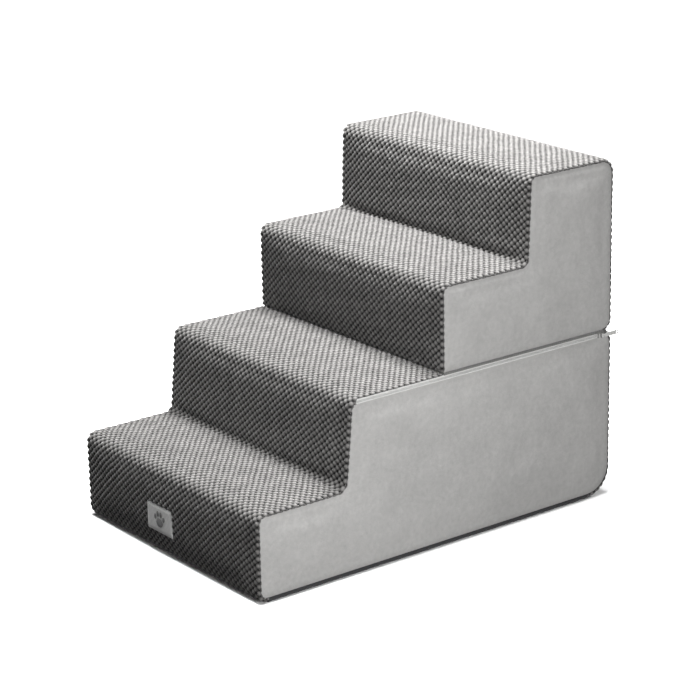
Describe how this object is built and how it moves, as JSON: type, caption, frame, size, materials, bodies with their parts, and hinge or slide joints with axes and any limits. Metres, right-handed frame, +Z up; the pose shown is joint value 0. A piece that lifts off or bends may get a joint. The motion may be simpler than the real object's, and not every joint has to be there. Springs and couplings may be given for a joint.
{
  "type": "folding foam pet stairs",
  "caption": "Foam pet stairs in two stacked blocks with plush treads, smooth side panels and zipped covers; the upper block folds back over a fabric hinge.",
  "frame": {"origin": "on the floor plane, at the middle of the lower block's length and width", "axes": "+X across the stairs to the right of someone about to climb, +Y from the first step to the back, +Z up"},
  "size_m": [0.4098, 0.6113, 0.48],
  "materials": {
    "foam": "matte",
    "plush_fleece": "matte",
    "side_velvet": "matte",
    "lining_cloth": "matte",
    "grip_sole": "matte",
    "hinge_fabric": "matte",
    "loop_tape": "matte",
    "hook_tape": "matte",
    "woven_label": "matte",
    "zip_tape": "matte",
    "zip_coil": "satin",
    "zip_metal": "satin"
  },
  "bodies": {
    "lower_block": {"lower_foam_core": "foam", "lower_step_cover": "plush_fleece", "lower_back_panel": "plush_fleece", "lower_deck_lining": "lining_cloth", "lower_side_panel_left": "side_velvet", "lower_side_panel_right": "side_velvet", "base_panel": "grip_sole", "loop_patches": "loop_tape", "hinge_web": "hinge_fabric", "label_patch": "woven_label", "lower_zip_upper_tape": "zip_tape", "lower_zip_lower_tape": "zip_tape", "lower_zip_upper_coil": "zip_coil", "lower_zip_lower_coil": "zip_coil", "lower_zip_stops": "zip_metal"},
    "upper_block": {"upper_foam_core": "foam", "upper_step_cover": "plush_fleece", "upper_back_panel": "plush_fleece", "upper_base_lining": "lining_cloth", "upper_side_panel_left": "side_velvet", "upper_side_panel_right": "side_velvet", "hook_patches": "hook_tape", "upper_zip_upper_tape": "zip_tape", "upper_zip_lower_tape": "zip_tape", "upper_zip_upper_coil": "zip_coil", "upper_zip_lower_coil": "zip_coil", "upper_zip_stops": "zip_metal"},
    "lower_zip_slider": {"lower_zip_slider": "zip_metal"},
    "lower_zip_pull": {"lower_zip_pull": "zip_metal"},
    "upper_zip_slider": {"upper_zip_slider": "zip_metal"},
    "upper_zip_pull": {"upper_zip_pull": "zip_metal"}
  },
  "joints": [
    {"name": "fold", "type": "hinge", "parent": "lower_block", "child": "upper_block", "pos_m": [0, 0.303, 0.24], "axis": [-1, 0, 0], "range_deg": [0, 180], "deforming": ["hinge_web"]},
    {"name": "lower_zip", "type": "slide", "parent": "lower_block", "child": "lower_zip_slider", "axis": [0, -1, 0], "range_m": [0, 0.415]},
    {"name": "lower_pull_turn", "type": "hinge", "parent": "lower_zip_slider", "child": "lower_zip_pull", "pos_m": [0.20375, 0.2805, 0.2345], "axis": [0, 0, -1], "range_deg": [0, 180]},
    {"name": "upper_zip", "type": "slide", "parent": "upper_block", "child": "upper_zip_slider", "axis": [0, -1, 0], "range_m": [0, 0.262]},
    {"name": "upper_pull_turn", "type": "hinge", "parent": "upper_zip_slider", "child": "upper_zip_pull", "pos_m": [-0.20375, 0.2775, 0.2445], "axis": [0, 0, 1], "range_deg": [0, 180]}
  ]
}
